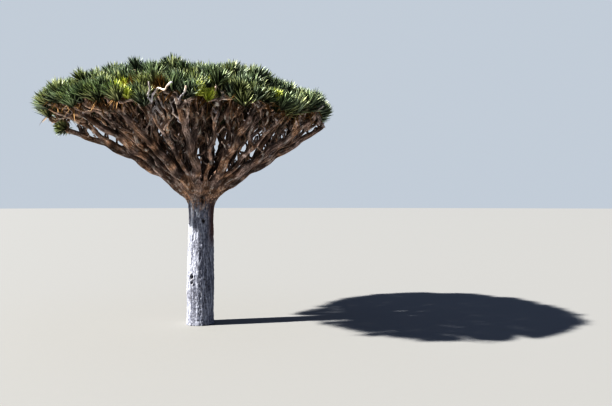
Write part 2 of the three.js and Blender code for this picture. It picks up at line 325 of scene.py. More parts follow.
def bark_paint(name, pale_stops, brown_stops, sunlit_and_bleached_share, crack_share, spot_and_sunfleck_share):
    material, surface, pen = new_material(name)
    grain = pen.attribute("grain", "Vector")
    hollow, painted_highlight = pen.attribute("hollow", "Fac"), pen.attribute("painted_highlight", "Fac")
    place = pen.node("ShaderNodeTexCoord", output="Object")
    height = place.part("Z")
    upward = pen.node("ShaderNodeNewGeometry", output="Normal").part("Z")

    patches = place.noise(*PATCHES)
    streaks = grain.noise(*STREAKS)
    specks = grain.noise(*SPECKS)
    tone = 0.25 * patches + 0.4 * streaks + 0.35 * specks
    pale = tone.node("ShaderNodeValToRGB", {0: tone}, stops=pale_stops)
    brown = tone.node("ShaderNodeValToRGB", {0: tone}, stops=brown_stops)

    warm = place.noise(*WARMTH).past(0.46, 7)
    brown = brown.mixed_by(warm.mixed(COOL_TINT, WARM_TINT))
    shade = place.noise(*SHADES).past(0.38, 4)
    brown = brown.mixed_by(shade.mixed(DIM, BRIGHT))
    # Small pale spots: partly pale bark, and partly painted flecks of sunlight.
    spots = grain.noise(*SPOTS).past(0.585, 18)
    brown = (spots * spot_and_sunfleck_share).clamped().mixed(brown, SPOT_AND_SUNFLECK_PAINT)

    stain = place.part("X").past(STAIN_SIDE, 9) * height.past(STAIN_FOOT, 2)
    colour = (stain * (0.3 + streaks)).clamped().mixed(pale, STAIN_PAINT)
    ragged = streaks - 0.5 + (patches - 0.5)
    # Above the neck the bark turns brown: partly its own colour, and partly painted warm light
    # bounced up from the ground.
    head = ((height + 1.5 * ragged - NECK) / NECK_BLEND + 0.5).clamped()
    colour = head.mixed(colour, brown)
    # Faces that look up are painted paler: painted sunlight on their tops, and partly bleached
    # bark.
    sunlit_and_bleached_tops = upward.past(0.25, 1.6) * sunlit_and_bleached_share
    colour = (sunlit_and_bleached_tops * streaks * 1.6).clamped().mixed(colour, SUNLIT_AND_BLEACHED_PAINT)
    # Painted highlight: paler paint on the trunk's ridge and on two painted patches of sunlight.
    colour = painted_highlight.mixed(colour, HIGHLIGHT_PAINT)
    off_crack = streaks - CRACK_AT
    cracks = (1 - off_crack.maths("ABSOLUTE", off_crack) * CRACK_RATE).clamped()
    dark = (crack_share * cracks * cracks + hollow).clamped()
    feed(surface, "Base Color", dark.mixed(colour, HOLLOW_PAINT))

    relief = 0.6 * streaks + 0.25 * specks - 0.25 * cracks
    bumps = relief.node("ShaderNodeBump", {"Height": relief, "Distance": 0.02, "Strength": 0.7})
    feed(surface, "Normal", bumps)
    feed(surface, "Roughness", 0.72 + 0.22 * streaks)
    return material


PALE_STOPS = [(0.38, "585a66"), (0.47, "8b8d98"), (0.58, "b9bbc3")]
# These browns are partly the bark's own colour and partly painted warm light bounced up from the
# ground.
BROWN_STOPS = [(0.37, "5c4f46"), (0.47, "a18c7c"), (0.59, "d6c3b2")]
TWIG_STOPS = [(0.39, "5a4e47"), (0.47, "b09d8e"), (0.56, "ebdac9")]
BLEACHED_STOPS = [(0.36, "b3aca5"), (0.48, "dcd7d1"), (0.6, "f6f4f0")]
trunk_bark = bark_paint("trunk_bark", PALE_STOPS, BROWN_STOPS, 0.6, 0.9, 0.4)
twig_bark = bark_paint("twig_bark", TWIG_STOPS, TWIG_STOPS, 0.8, 0.6, 0.85)
bleached_bark = bark_paint("bleached_bark", BLEACHED_STOPS, BLEACHED_STOPS, 0.5, 0.3, 0.0)
print("materials for bark:", [bark.name for bark in (trunk_bark, twig_bark, bleached_bark)])

# %% [markdown]
# ## Where the limbs run
# Each bough of the frame is a bent tube. Its middle line and its radius are read off it by slicing
# it: bisect_plane cuts a copy, and the cut's corners lie round the middle. That way the bark and
# everything that grows from it follow the solid model, also if the model is changed.

# %% Slice the boughs
HEAD = np.array((0.045, 0.0, 3.53))  # where the boughs leave the trunk
MERGE = 0.0002  # metres between corners that are taken as one
END_CORNERS = 6  # an end of a limb is the mean of this many corners
SLICES = np.linspace(0.12, 0.94, 9)  # shares of a limb's length
LINE_STEP = 0.05  # metres between the places of a line
ANY_WAY = (0.31, 0.95, 0.05)  # a direction that hardly any limb runs in
WAVE, WAVE_LENGTHS = 0.032, (0.95, 1.25)  # metres that a bough swings aside, and from wave to wave


def merged_copy(name):
    """The loose triangles of a frame node, joined into a closed mesh."""
    copy = bmesh.new()
    copy.from_mesh(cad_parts[name].data)
    bmesh.ops.remove_doubles(copy, verts=copy.verts[:], dist=MERGE)
    return copy


def section(solid, point, way):
    """The middle and the radius of a solid where a plane cuts it."""
    cut = solid.copy()
    parts = cut.verts[:] + cut.edges[:] + cut.faces[:]
    found = bmesh.ops.bisect_plane(cut, geom=parts, plane_co=point, plane_no=way)["geom_cut"]
    rim = np.array([v.co for v in found if isinstance(v, bmesh.types.BMVert)])
    cut.free()
    middle = rim.mean(0)
    return middle, np.linalg.norm(rim - middle, axis=1).mean()


def resample(points, radii):
    """A smooth line through some points, with a place every step, and its radii."""
    values = np.column_stack([points, radii])
    reach = np.concatenate([[0], np.cumsum(np.linalg.norm(np.diff(points, axis=0), axis=1))])
    slope = np.gradient(values, reach, axis=0) / 3
    places = np.linspace(0, reach[-1], max(3, round(reach[-1] / LINE_STEP) + 1))
    i = np.clip(np.searchsorted(reach, places, side="right") - 1, 0, len(reach) - 2)
    span = (reach[i + 1] - reach[i])[:, None]
    t = (places - reach[i])[:, None] / span
    pull, push = values[i] + span * slope[i], values[i + 1] - span * slope[i + 1]
    smooth = drawn(values[i], pull, push, values[i + 1], t)
    return smooth[:, :3], smooth[:, 3]


def frames_along(points):
    """At each place of a line: the way it runs, and two directions across it that don't twist."""
    ways = ways_along(points)
    side = unit(np.cross(ways[0], ANY_WAY))
    sides = []
    for way in ways:
        side = unit(side - way * (side @ way))
        sides.append(side)
    return ways, np.array(sides), np.cross(ways, sides)


def wavy(points, radii):
    """The same line with the slow bends that a growing bough has."""
    ways, across, over = frames_along(points)
    s = np.linspace(0, 1, len(points))
    length = LINE_STEP * len(points)
    ease = np.sqrt(np.sin(math.pi * s).clip(0))
    for side, stretch in zip((across, over), WAVE_LENGTHS):
        phase = chance.uniform(0, 2 * math.pi)
        bends = np.sin(2 * math.pi * s * length / stretch + phase)
        points = points + side * (WAVE * ease * bends)[:, None]
    return points, radii


def read_limb(name):
    """The middle line of a limb and its radii, from the end nearest to the head outwards."""
    solid = merged_copy(name)
    corners = corners_of(solid)
    order = np.argsort(np.linalg.norm(corners - HEAD, axis=1))
    start, end = corners[order[:END_CORNERS]].mean(0), corners[order[-END_CORNERS:]].mean(0)
    cuts = [section(solid, start + (end - start) * t, unit(end - start)) for t in SLICES]
    solid.free()
    points, radii = map(np.array, zip(*cuts))
    gap = SLICES[1] - SLICES[0]
    first = points[0] - (points[1] - points[0]) * SLICES[0] / gap
    last = points[-1] + (points[-1] - points[-2]) * (1 - SLICES[-1]) / gap
    points = np.vstack([first, points, last])
    return wavy(*resample(points, np.pad(radii, 1, mode="edge")))


limbs = {name: read_limb(name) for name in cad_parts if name.startswith("bough")}
pads = sorted(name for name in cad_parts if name.startswith("leaves"))
print("limbs:", len(limbs), "masses of leaves:", len(pads))

# %% [markdown]
# ## Boughs between the boughs
# The frame keeps to its largest boughs, but on the real tree more of them stand side by side, with
# only slits between. A thinner one is led midway between each two neighbours that reach the rim. It
# could be modelled by hand, but as the mean of two lines it stays within the shape of the crown.

# %% Add a bough between each two
BETWEEN_SHARE = 0.56  # its thickness, as a share of theirs
BETWEEN_PLACES = 9  # it is led through this many places


def halfway(first, second):
    """The line and radii of a bough midway between two others."""
    t = np.linspace(0, 1, BETWEEN_PLACES)
    total = 0
    for points, radii in (limbs[first], limbs[second]):
        values = np.column_stack([points, radii * BETWEEN_SHARE])
        s = np.linspace(0, 1, len(values))
        total = total + np.column_stack([np.interp(t, s, column) for column in values.T]) / 2
    return wavy(*resample(total[:, :3], total[:, 3]))


LONE = "bough_1_a"  # this one hangs lower than the rest, with a gap above it and a tuft at its end
by_turn = [name for name in limbs if name.endswith(("_a", "_b"))]
by_turn.sort(key=lambda name: math.atan2(limbs[name][0][-1][1], limbs[name][0][-1][0]))
between = {
    f"between_{k}": halfway(first, second)
    for k, (first, second) in enumerate(zip(by_turn, by_turn[1:] + by_turn[:1]))
    if LONE not in (first, second)
}
limbs.update(between)
print("boughs between the boughs:", len(between))

# %% [markdown]
# ## From tubes to one skin
# On the real tree a bough doesn't stop at the trunk: its wood flows into it, with a collar round
# each fork. So each limb's line first runs back into the limb that carries it. All the tubes are
# then melted into one skin by a voxel remesh and smoothed, which leaves such collars by itself. The
# bottom ring is pulled under the ground and cut off flat at the end.

# %% Tubes for the limbs
TUBE_SIDES, TRUNK_SIDES = 14, 40
TRUNK_STEP, UNDER = 0.12, 0.12  # metres between the trunk's rings, and from the lowest one up to 0
# Places that a limb runs through inside the trunk: aside of the head, below it, and the radius
NECK_RUN = np.array([(0.06, 1.2, 0.12), (0.14, 0.65, 0.15), (0.165, 0.2, 0.165)])
NECK_REACH = 0.6  # metres of the limb itself that follow on them
NECK_AIM = 8  # the place of a limb's line that they lean towards
BACK_RUN = 0.16  # metres that other limbs run back inside their carrier
INSIDE = 0.01  # metres that every slice of the trunk stays inside its ends


def carrier_of(name):
    shorter = name.rsplit("_", 1)[0]
    return shorter if shorter in limbs else "trunk"


def run_down(name):
    """A limb's line, led down into the trunk, with the first part of the limb itself."""
    points, radii = limbs[name]
    out = unit((points[NECK_AIM] - HEAD) * (1, 1, 0)) * (name != "bough_centre")
    inner = [HEAD + out * aside - (0, 0, down) for aside, down, _ in NECK_RUN]
    last = round(NECK_REACH / LINE_STEP)
    sizes = [*NECK_RUN[:, 2], *np.linspace(NECK_RUN[-1, 2], radii[last], 3)]
    return resample(np.vstack([inner, points[[1, last // 2, last]]]), np.array(sizes))


def run_back(name):
    """A limb's line, led back some way along the middle of the limb that carries it."""
    points, radii = limbs[name]
    carrier = carrier_of(name)
    inner = HEAD
    if carrier != "trunk":
        line = limbs[carrier][0]
        near = int(np.argmin(np.linalg.norm(line - points[0], axis=1)))
        inner = line[max(0, near - round(BACK_RUN / LINE_STEP))]
    kept = np.linspace(1, len(points) - 1, max(3, len(points) // 3)).round().astype(int)
    return resample(np.vstack([inner, points[kept]]), np.array([radii[0], *radii[kept]]))


def next_ring(body, face):
    """The face at the end of a tube, after the tube is made one ring longer."""
    grown = bmesh.ops.extrude_face_region(body, geom=[face])["geom"]
    return next(part for part in grown if isinstance(part, bmesh.types.BMFace))


def add_tube(body, points, radii):
    """A closed tube along a line, extruded ring by ring in a mesh of its own, which is faster."""
    ways, across, over = frames_along(points)
    spots = [
        Matrix.Translation(p) @ Matrix((a * r, o * r, w)).transposed().to_4x4()
        for p, r, a, o, w in zip(points, radii, across, over, ways)
    ]
    tube = bmesh.new()
    ring = bmesh.ops.create_circle(
        tube, cap_ends=True, radius=1, segments=TUBE_SIDES, matrix=spots[0]
    )
    face = ring["verts"][0].link_faces[0]
    for before, after in zip(spots, spots[1:]):
        face = next_ring(tube, face)
        bmesh.ops.transform(tube, matrix=after @ before.inverted(), verts=face.verts[:])
    mesh = bpy.data.meshes.new("tube")
    tube.to_mesh(mesh)
    tube.free()
    body.from_mesh(mesh)
    bpy.data.meshes.remove(mesh)


def trunk_rings(body):
    """The trunk as a stack of rings that lie on the frame's trunk."""
    solid = merged_copy("trunk")
    tree = BVHTree.FromBMesh(solid)
    top = max(v.co.z for v in solid.verts)
    heights = np.arange(INSIDE, top - INSIDE, TRUNK_STEP)
    middles = [section(solid, (0, 0, z), (0, 0, 1))[0] for z in heights]
    solid.free()
    ring = bmesh.ops.create_circle(body, cap_ends=True, radius=1, segments=TRUNK_SIDES)
    face = ring["verts"][0].link_faces[0]
    for k, middle in enumerate([middles[0], *middles]):
        if k:
            face = next_ring(body, face)
        for j, v in enumerate(face.verts):
            way = Vector(direction(2 * math.pi * j / TRUNK_SIDES))
            hit = tree.ray_cast(Vector(middle), way)[0]
            v.co = hit if k else (hit.x, hit.y, -UNDER)


def melted(name, body, voxel, smoothing):
    """One closed skin round all the tubes of a mesh."""
    bmesh.ops.recalc_face_normals(body, faces=body.faces[:])
    mesh = bpy.data.meshes.new(name)
    body.to_mesh(mesh)
    body.free()
    piece = placed(name, mesh)
    melt = piece.modifiers.new("melt", "REMESH")
    melt.mode = "VOXEL"
    melt.voxel_size = voxel
    seen = piece.evaluated_get(bpy.context.evaluated_depsgraph_get())
    skin = bmesh.new()
    skin.from_mesh(seen.to_mesh())
    seen.to_mesh_clear()
    piece.modifiers.clear()
    for _ in range(smoothing):
        bmesh.ops.smooth_vert(
            skin, verts=skin.verts[:], factor=0.5,
            use_axis_x=True, use_axis_y=True, use_axis_z=True,
        )
    return piece, skin


# %% Melt the trunk with its short boughs, and the long boughs
TRUNK_VOXEL, BOUGH_VOXEL = 0.0165, 0.0335
COLLAR = 0.007  # the long boughs' skin stands this far proud where it takes over
KNOT_GAP, KNOT_SWELL = 0.45, 0.07  # metres between a bough's swellings, and how much it swells

short_boughs = [f"bough_{k}" for k in range(1, 7)]
long_boughs = [name for name in limbs if name not in short_boughs]

trunk_body = bmesh.new()
trunk_rings(trunk_body)
for name in long_boughs:
    if name not in between and carrier_of(name) in (*short_boughs, "trunk"):
        add_tube(trunk_body, *run_down(name))
trunk_piece, trunk_skin = melted("bark_trunk", trunk_body, TRUNK_VOXEL, smoothing=5)

bough_body = bmesh.new()
for name in long_boughs:
    line, sizes = run_back(name)
    first_knot = 9 * sizes.sum()  # a different place on each bough
    knots = np.cos(2 * math.pi * LINE_STEP * np.arange(len(line)) / KNOT_GAP + first_knot)
    collar = COLLAR * np.linspace(1, 0, len(sizes))
    add_tube(bough_body, line, sizes * (1 + KNOT_SWELL * knots) + collar)
bough_piece, bough_skin = melted("bark_boughs", bough_body, BOUGH_VOXEL, smoothing=3)
print("corners of the two skins:", len(trunk_skin.verts), len(bough_skin.verts))

# %% [markdown]
# ## Relief
# The relief could be sculpted, or come from a displacement texture. Here each corner of the skin is
# moved along its normal by noise. The noise is read in the limb's own directions, drawn out along
# it, so it makes folds that follow the boughs. On the trunk that is simply upwards. The trunk also
# gets single features, where they show in the picture: three folds, the knots, the dark cleft
# under its head, and a raised ridge with a painted highlight and two painted patches of sunlight
# beside it. The back gets more folds.

# %% Grain along the limbs
def grain_of(skin, lines):
    """For each corner: where it lies across and along its limb, and how far from its middle."""
    rows = []
    for number, line in enumerate(lines):
        steps = np.linalg.norm(np.diff(line, axis=0), axis=1)
        along = np.concatenate([[0], np.cumsum(steps)])
        rows += zip(line, *frames_along(line), along, [number] * len(line))
    tree = kdtree.KDTree(len(rows))
    for i, row in enumerate(rows):
        tree.insert(row[0], i)
    tree.balance()
    nearest = [tree.find(v.co)[1] for v in skin.verts]
    at, way, across, over, along, number = (
        np.array([rows[i][k] for i in nearest]) for k in range(6)
    )
    off = corners_of(skin) - at
    dot = lambda a, b: (a * b).sum(1)
    grain = np.column_stack([  # the shifts give each limb a part of the noise of its own
        dot(off, across) + 3.7 * number,
        dot(off, over) - 1.9 * number,
        along + dot(off, way) + 0.6 * number,
    ])
    return grain, np.linalg.norm(off - way * dot(off, way)[:, None], axis=1)


def noise_at(places, scale):
    return np.array([noise.noise(p) for p in places * np.array(scale)])


def finish_skin(skin, move, grain, hollow, painted_highlight):
    """Moves the corners along their normals, and stores what the bark's paint reads."""
    skin.normal_update()
    layers = skin.verts.layers
    across = layers.float_vector.new("grain")
    deep, pale = layers.float.new("hollow"), layers.float.new("painted_highlight")
    for v, distance, *values in zip(skin.verts, move, grain, hollow, painted_highlight):
        v.co += v.normal * distance
        v[across], v[deep], v[pale] = values
    for face in skin.faces:
        face.smooth = True


# %% Relief of the trunk
AXIS_X, GIRTH = 0.02, 0.38  # metres: the trunk's middle, and the radius that widths are measured on
# A knot has a pixel, a size and a depth. A fold has a turn in degrees, a width, a depth and a top.
# A place of the cleft and a painted patch of sunlight have a pixel and a size. All lengths are in
# metres.
KNOTS = [((203, 221), 0.036, 0.03), ((192, 277), 0.04, 0.045), ((192, 283), 0.03, 0.03)]
FOLDS = [(-131, 0.03, 0.008, 3.4), (-60, 0.05, 0.004, 3.0), (-12, 0.05, 0.01, 2.4)]
FOLDS += [(turn, 0.05, 0.014, 2.9) for turn in (35, 84, 121, 158, 197)]
RIDGE_TURN, RIDGE_WIDTH, RIDGE_HEIGHT, RIDGE_TOP = -128, 0.05, 0.02, 3.6
HIGHLIGHT_FROM, RIBS_TOP = 2.5, 3.45  # metres: the ridge gets a painted highlight above one, fine ribs end at the other
CLEFT = [((201.5, 192), 0.085), ((202.5, 197), 0.065), ((203, 202), 0.04)]
SUNLIT_PATCHES = [((196.5, 212), 0.055), ((198, 215), 0.045)]

trunk_tree = BVHTree.FromBMesh(trunk_skin)
corners = corners_of(trunk_skin)
corner_turns = np.degrees(np.arctan2(corners[:, 1], corners[:, 0] - AXIS_X))


def below(top, fade):
    """1 for the corners well below a height, and 0 for those above it."""
    return np.clip((top - corners[:, 2]) / fade, 0, 1)


def aside_of(turn, wander, rate, start):
    """How far the corners lie round the trunk from a line up it that wanders, in metres."""
    bends = wander * noise_at(corners * (0, 0, 1) + (start, 0, 0), (1, 1, rate))
    return np.radians((corner_turns - turn - bends + 180) % 360 - 180) * GIRTH


# Each noise gets how often it changes in a metre along x, y and z, and then its depth in metres
long_folds = noise_at(corners, (4.5, 4.5, 0.8))
ridges = 1 - 2 * np.abs(noise_at(corners, (10, 10, 2.2)))
lumps = noise_at(corners + 7, (11, 11, 7))
dents = noise_at(corners + 3, (21, 21, 15))
pits = noise_at(corners, (38, 38, 26))
move = 0.012 * long_folds + below(RIBS_TOP, 0.3) * 0.003 * (ridges - 0.7)
move += 0.008 * lumps + 0.008 * dents + 0.005 * pits
hollow = 0.15 * np.clip(0.25 - ridges, 0, 1) + 1.2 * np.clip(-0.28 - dents, 0, 1)
for turn, width, depth, top in FOLDS:
    side = aside_of(turn, 9, 0.9, turn) / width
    move -= depth * bump(side) * below(top, 0.5)
    hollow += 0.15 * bump(3 * side) * below(top, 0.5)
# The ridge is raised, and above a height it gets a painted highlight, paler paint where light
# catches it.
ridge = bump(aside_of(RIDGE_TURN, 5, 1.1, 0), RIDGE_WIDTH) * below(RIDGE_TOP, 0.3)
move += RIDGE_HEIGHT * ridge
painted_highlight = 0.95 * ridge * np.clip((corners[:, 2] - HIGHLIGHT_FROM) / 0.3, 0, 1)


def gap_from(across, down):
    """How far the corners are from the place on the trunk that shows at a pixel, in metres."""
    place = np.array(trunk_tree.ray_cast(EYE, sight(across, down))[0])
    return np.linalg.norm((corners - place) * (1, 1, 0.7), axis=1)


for pixel, size, depth in KNOTS:
    gap = gap_from(*pixel) / size
    lip = np.exp(-((gap - 1.5) ** 2) * 2.5)
    move += 0.5 * depth * lip - depth * bump(gap)
    hollow += 0.9 * bump(gap)
for pixel, size in CLEFT:
    dip = bump(gap_from(*pixel), size)
    move -= 0.6 * size * dip
    hollow += 0.95 * dip
# Two painted patches of sunlight beside the ridge, ragged at their edges.
for pixel, size in SUNLIT_PATCHES:
    painted_highlight += bump(gap_from(*pixel), size, 4) * np.clip(0.9 + 2 * dents, 0, 1)
finish_skin(trunk_skin, move, corners, np.clip(hollow, 0, 0.85), np.clip(painted_highlight, 0, 1))

parts = trunk_skin.verts[:] + trunk_skin.edges[:] + trunk_skin.faces[:]
bmesh.ops.bisect_plane(
    trunk_skin, geom=parts, plane_co=(0, 0, 0), plane_no=(0, 0, -1), clear_outer=True
)
foot = [e for e in trunk_skin.edges if e.is_boundary]
bmesh.ops.holes_fill(trunk_skin, edges=foot)
print("edges round the flat foot:", len(foot), "deepest move:", round(float(move.min()), 3))

# %% Relief of the boughs
grain, out = grain_of(bough_skin, [run_back(name)[0] for name in long_boughs])
swell = noise_at(grain, (3, 3, 2.2))
ridges = 1 - 2 * np.abs(noise_at(grain, (12, 12, 2.0)))
pits = noise_at(grain, (34, 34, 16))
move = np.clip(out, 0.04, 0.16) * (0.1 * swell + 0.05 * (ridges - 0.7)) + 0.003 * pits
hollow = np.clip(0.3 * np.clip(0.2 - ridges, 0, 1) - 1.2 * np.minimum(swell, 0), 0, 0.6)
finish_skin(bough_skin, move, grain, hollow, 0 * hollow)

for piece, skin in ((trunk_piece, trunk_skin), (bough_piece, bough_skin)):
    print("wood in", piece.name, "in cubic metres:", round(skin.calc_volume(), 2))
    skin.to_mesh(piece.data)
    skin.free()
    piece.data.materials.append(trunk_bark)
    piece.data.calc_loop_triangles()
    print(piece.name, "has", len(piece.data.loop_triangles), "triangles")

# %% [markdown]
# ## Where the rosettes sit
# Every branch of this tree ends in one rosette of stiff leaves, and the rosettes stand side by side
# over the whole crown, like a lawn. The seeds of a sunflower are spread as evenly as that, so the
# top is covered by a sunflower spiral. The rim gets rings of rosettes that lean outwards. Each ray
# that is cast on the frame's pads finds where the leaf tips are, and the rosette sits a leaf's
# length below that.

# %% Cast rays on the pads
LEAF, SPACING = 0.44, 0.28  # metres: a leaf, and from rosette to rosette
TOP_SHARE = 0.93  # the spiral covers this share of the crown's reach
RIM_SHARE = 0.85  # rays at the rim go through places at this share of it
RIM_RISES = [(30, 66), (4, 54)]  # degrees above the level: where a ring sits, and where it looks
OUTSIDE, ABOVE = 8, 12  # metres from the middle and from the ground, well clear of the leaves
SLIP = 0.3  # a ray that gets this near to the crown's lowest place fell between two pads
DEEPER = 0.3  # metres under the top of the crown that the rays at the rim aim for
SEAT = 0.93  # a rosette's base is this share of a leaf's length below the tips

crown = bmesh.new()
for name in pads:
    if name != "leaves_low_left":
        crown.from_mesh(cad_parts[name].data)
crown_tree = BVHTree.FromBMesh(crown)
box_low, box_high = corners_of(crown).min(0), corners_of(crown).max(0)
crown.free()
middle = (box_low + box_high) / 2

RIM_TURNS = np.linspace(0, 2 * math.pi, 73)  # every five degrees


def farthest(turn):
    """How far the crown reaches in one direction, in metres."""
    found = [0.0]
    for aside in np.radians((-6, -3, 0, 3, 6)):
        way = Vector(direction(turn + aside))
        for height in np.linspace(box_low[2] + 0.2, box_high[2] - 0.8, 8):
            start = Vector((middle[0], middle[1], height)) + OUTSIDE * way
            hit = crown_tree.ray_cast(start, -way)[0]
            if hit:
                found.append(OUTSIDE - (hit - start).dot(-way))
    return max(found)


rim = [farthest(turn) for turn in RIM_TURNS]


def rim_reach(turn):
    """The crown's reach in one direction, from the measured ones."""
    return np.interp(turn % (2 * math.pi), RIM_TURNS, rim)


def surface_below(x, y):
    """The top of the crown at a place, also over the narrow strips between pads."""
    hit = crown_tree.ray_cast(Vector((x, y, ABOVE)), Vector((0, 0, -1)))[0]
    if hit is None or hit.z < box_low[2] + SLIP:
        hit = crown_tree.find_nearest(Vector((x, y, box_high[2])))[0]
    return np.array((x, y, hit.z))


tips, axes = [], []
golden = math.pi * (3 - math.sqrt(5))
mean_reach = np.mean([rim_reach(turn) for turn in np.linspace(0, 2 * math.pi, 24)])
count = round(math.pi * (TOP_SHARE * mean_reach / SPACING) ** 2)
for k in range(count):
    share = math.sqrt((k + 0.5) / count) * TOP_SHARE
    turn = k * golden
    out = direction(turn)
    place = middle[:2] + share * rim_reach(turn) * out[:2] + chance.normal(0, 0.035, 2)
    lean = math.radians(3 + 50 * max(0, share - 0.3) ** 1.3)
    axes.append(math.cos(lean) * UP + math.sin(lean) * out)
    tips.append(surface_below(*place) + chance.normal(0, 0.07) * UP)
for ring, angles in enumerate(RIM_RISES):
    count = round(2 * math.pi * mean_reach * TOP_SHARE / SPACING)
    for k in range(count):
        turn = 2 * math.pi * (k + 0.5 * (ring % 2)) / count + chance.normal(0, 0.012)
        sit, look = np.radians(angles) + chance.normal(0, 0.1)
        way = direction(turn, sit)
        place = middle[:2] + RIM_SHARE * rim_reach(turn) * direction(turn)[:2]
        inside = surface_below(*place) - DEEPER * UP
        hit = crown_tree.ray_cast(Vector(inside + 4 * way), Vector(-way))[0]
        if hit:
            tips.append(np.array(hit) + chance.uniform(0, 0.16) * way)
            axes.append(direction(turn, look))
axes = unit(np.array(axes) + chance.normal(0, 0.17, (len(axes), 3)))
sizes = chance.uniform(0.8, 1.1, len(tips))
bases = np.array(tips) - axes * (SEAT * LEAF * sizes)[:, None]
print("rosettes:", len(bases), "mean reach of the crown:", round(mean_reach, 2))

# %% The small tuft below the left rim
TUFT_RISES = (0.15, 0.5, -0.1, 0.3)  # of the axis of each of its rosettes
TUFT, TUFT_SPREAD, TUFT_LEAF = len(TUFT_RISES), 0.9, 0.72  # radians aside, share of a leaf's length
low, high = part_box("leaves_low_left")
tuft_middle = np.array((low + high) / 2)
tuft_turns = math.pi + TUFT_SPREAD * np.linspace(-1, 1, TUFT)
tuft_axes = unit(np.column_stack([np.cos(tuft_turns), np.sin(tuft_turns), TUFT_RISES]))
tuft_bases = tuft_middle + tuft_axes * (0.05, 0.12, 0.05) + (0.16, 0, 0)
bases = np.vstack([bases, tuft_bases])
axes = np.vstack([axes, tuft_axes])
sizes = np.concatenate([sizes, np.full(TUFT, TUFT_LEAF)])
in_tuft = np.arange(len(bases)) >= len(bases) - TUFT
print("rosettes with the tuft:", len(bases))

# %% [markdown]
# ## The branching rule
# Below the leaves the crown is a dense web: each branch forks in two, and its forks fork again,
# until each ends in its rosette. The rule works from the rosettes back. Those nearest to a bough's
# end belong to it, in groups. A group leaves the bough where its way to the leaves makes an easy
# angle, and then halves at each fork. A branch is as thick as the rosettes that it carries ask for.

# %% Share the rosettes out
GROUP, EASY = 10, math.radians(27)  # the most rosettes in a group, and the easy angle
KNOT, KNOT_BEND = 0.33, 0.055  # metres between the knots of a branch, and aside at each
TIP_RADIUS, THICKEN = 0.033, 0.31  # metres with one rosette, and the power that more add by
KEEP, RISE, STRAY = 0.4, 0.15, 0.18  # how much the old way, the leaves' axes and chance count
START, ROOM = 0.06, 0.45  # share of a bough without groups, metres that a group wants above it
BARE_MIDDLE, BARE_HALF = (165, 104), (15, 14)  # pixels where pale bare branches show


def in_bare_place(points, depth):
    """Which places show in the bare place, and stand nearer to the camera than some depth."""
    return (np.abs(in_picture(points) - BARE_MIDDLE) < BARE_HALF).all(1) & (points[:, 1] < depth)


bare = in_bare_place(bases, 0)
limb_ends = np.array([limbs[name][0][-1] for name in long_boughs])
owner = np.argmin(
    np.linalg.norm((bases[:, None, :] - limb_ends[None]) * (1, 1, 0.6), axis=2), axis=1
)


def halves(ids):
    """Some rosettes, parted across the direction that they spread in most."""
    spread = bases[ids] - bases[ids].mean(0)
    main = np.linalg.svd(spread, full_matrices=False)[2][0]
    order = ids[np.argsort(spread @ main)]
    cut = min(len(ids) - 1, max(1, round(len(ids) * chance.uniform(0.4, 0.6))))
    return order[:cut], order[cut:]


def groups_of(ids):
    if len(ids) <= GROUP:
        return [ids]
    first, second = halves(ids)
    return groups_of(first) + groups_of(second)


def thickness(carried):
    return TIP_RADIUS * carried**THICKEN


branches = []  # (from, its way, to, its way, rosettes carried)


def add_line(line, ways, carried):
    branches.extend((*ends, carried) for ends in zip(line, ways, line[1:], ways[1:]))


def reach_out(point, way, end, end_way, carried):
    """A branch from one place to another, bent a little at each knot."""
    count = max(1, round(np.linalg.norm(end - point) / KNOT))
    line = curve(point, way, end, end_way, np.linspace(0, 1, count + 1)[:, None])
    line[1:-1] += chance.normal(0, KNOT_BEND, (count - 1, 3))
    ways = ways_along(line) if count > 1 else np.array([way, end_way])
    ways[0], ways[-1] = way, end_way
    add_line(line, ways, carried)


def grow(point, way, ids):
    """Branches from a point to some rosettes, forking on the way."""
    target = bases[ids].mean(0)
    if len(ids) == 1:
        reach_out(point, way, bases[ids[0]], axes[ids[0]], 1)
        return
    gap = np.linalg.norm(target - point)
    levels = math.ceil(math.log2(len(ids))) + 1
    step = gap / levels * chance.uniform(0.8, 1.2)
    heading = unit(KEEP * way + unit(target - point) + RISE * axes[ids].mean(0))
    heading = unit(heading + chance.normal(0, STRAY, 3))
    fork = point + heading * step
    reach_out(point, way, fork, heading, len(ids))
    for half in halves(ids):
        aim = unit(bases[half].mean(0) - fork)
        grow(fork, unit(KEEP * heading + aim), half)


for limb, name in enumerate(long_boughs):
    line = limbs[name][0]
    ways = ways_along(line)
    ids = np.flatnonzero((owner == limb) & ~in_tuft)
    if len(ids) == 0:
        continue
    groups = groups_of(ids)
    groups.sort(key=lambda group: -np.linalg.norm(bases[group].mean(0) - line[-1]))
    steps = np.arange(round(START * len(line)), len(line))
    for group in groups:
        to_group = bases[group].mean(0) - line[steps]
        angle = np.arccos(np.clip((unit(to_group) * ways[steps]).sum(1), -1, 1))
        room = np.linalg.norm(to_group, axis=1)
        fits = np.abs(angle - EASY * chance.uniform(0.2, 1.6)) + 0.5 * np.clip(ROOM - room, 0, 1)
        best = steps[int(np.argmin(fits))]
        if group is groups[-1]:
            best = steps[-1]
        aim = unit(bases[group].mean(0) - line[best])
        grow(line[best], unit(ways[best] + 0.8 * aim), group)
line = limbs[LONE][0]
grow(line[-1], unit(line[-1] - line[-2]), np.flatnonzero(in_tuft))
print("branches:", len(branches), "rosettes per limb:", round(len(bases) / len(long_boughs), 1))

# %% [markdown]
# ## Side twigs and dead twigs
# Inside the crown many small branches end without a rosette. The younger ones are still brown, and
# fill the web between the boughs. The older ones have bleached, and give the web its pale specks.
# Both leave a bough or a branch at an angle, rise, and turn at each knot. At the front of the real
# tree one place is bare, and a few bleached branches curl up in it. Their places are read off the
# picture, and each starts at the end of the branch that carries it.

